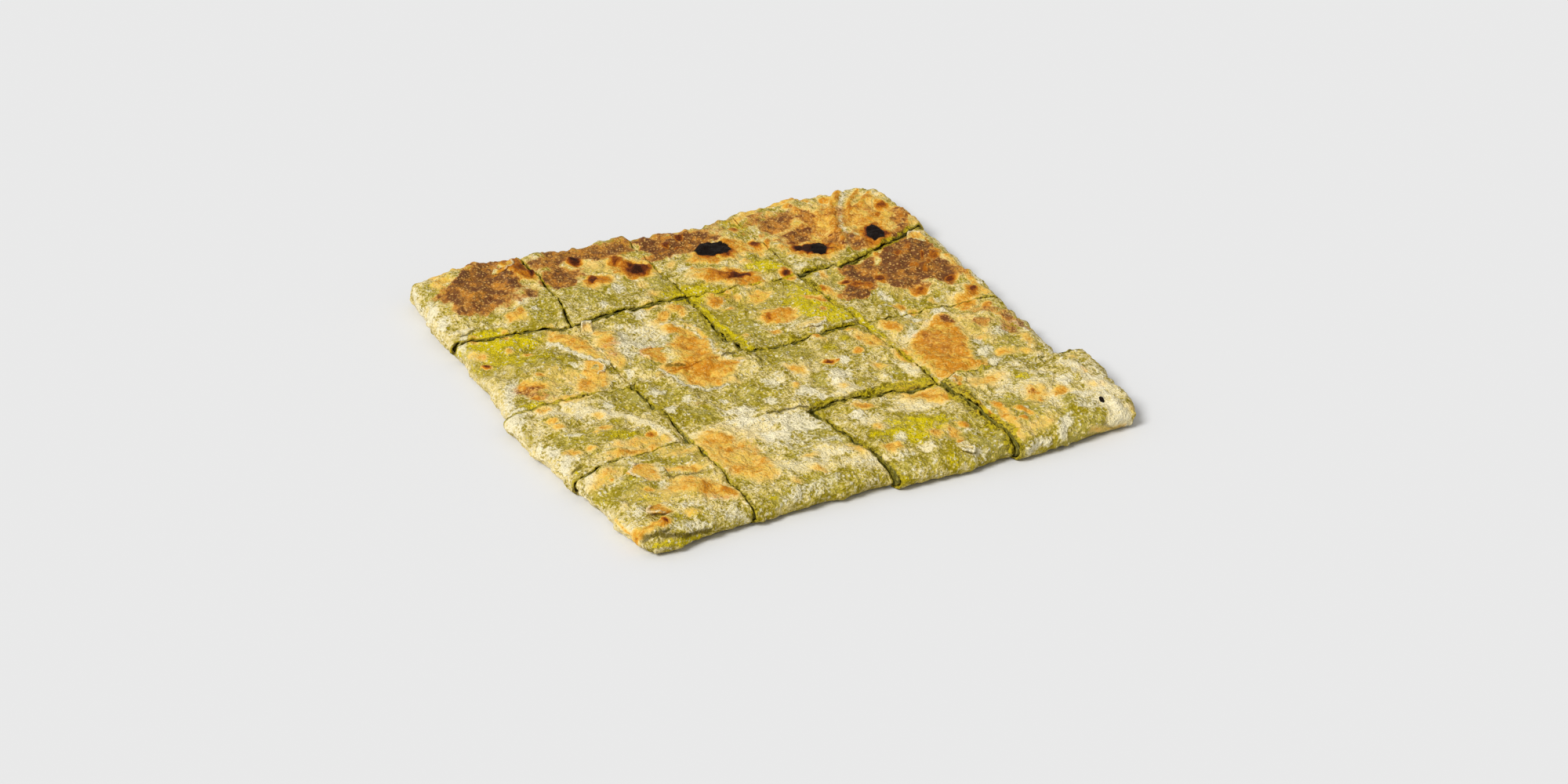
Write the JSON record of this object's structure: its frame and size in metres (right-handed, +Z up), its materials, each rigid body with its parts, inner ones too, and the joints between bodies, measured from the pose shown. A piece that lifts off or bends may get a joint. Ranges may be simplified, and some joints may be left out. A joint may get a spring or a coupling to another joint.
{
  "type": "katmer",
  "caption": "Square flatbread of thin baked dough folded round a spinach filling, cut crosswise into slices that still lie together as one flat whole.",
  "frame": {"origin": "middle of the whole's outline, on the plane that it lies on", "axes": "+Z up through the thickness, +X across the columns of slices to the right, +Y over the rows towards the back"},
  "size_m": [0.2274, 0.2324, 0.0153],
  "materials": {
    "baked_dough": "thin griddled dough, floury and golden with darker toasted spots, green where the filling shows through",
    "spinach_filling": "moist chopped spinach, olive to yellow-green"
  },
  "bodies": {
    "root": {"dough_1_1": "baked_dough", "dough_1_2": "baked_dough", "dough_1_3": "baked_dough", "dough_1_4": "baked_dough", "dough_2_1": "baked_dough", "dough_2_4": "baked_dough", "dough_3_1": "baked_dough", "dough_3_4": "baked_dough", "dough_4_1": "baked_dough", "dough_4_2": "baked_dough", "dough_4_3": "baked_dough", "dough_4_4": "baked_dough", "dough_bottom_2_2": "baked_dough", "dough_bottom_2_3": "baked_dough", "dough_bottom_3_2": "baked_dough", "dough_bottom_3_3": "baked_dough", "dough_top_2_2": "baked_dough", "dough_top_2_3": "baked_dough", "dough_top_3_2": "baked_dough", "dough_top_3_3": "baked_dough", "filling_1_1": "spinach_filling", "filling_1_2": "spinach_filling", "filling_1_3": "spinach_filling", "filling_1_4": "spinach_filling", "filling_2_1": "spinach_filling", "filling_2_2": "spinach_filling", "filling_2_3": "spinach_filling", "filling_2_4": "spinach_filling", "filling_3_1": "spinach_filling", "filling_3_2": "spinach_filling", "filling_3_3": "spinach_filling", "filling_3_4": "spinach_filling", "filling_4_1": "spinach_filling", "filling_4_2": "spinach_filling", "filling_4_3": "spinach_filling", "filling_4_4": "spinach_filling"}
  },
  "joints": []
}
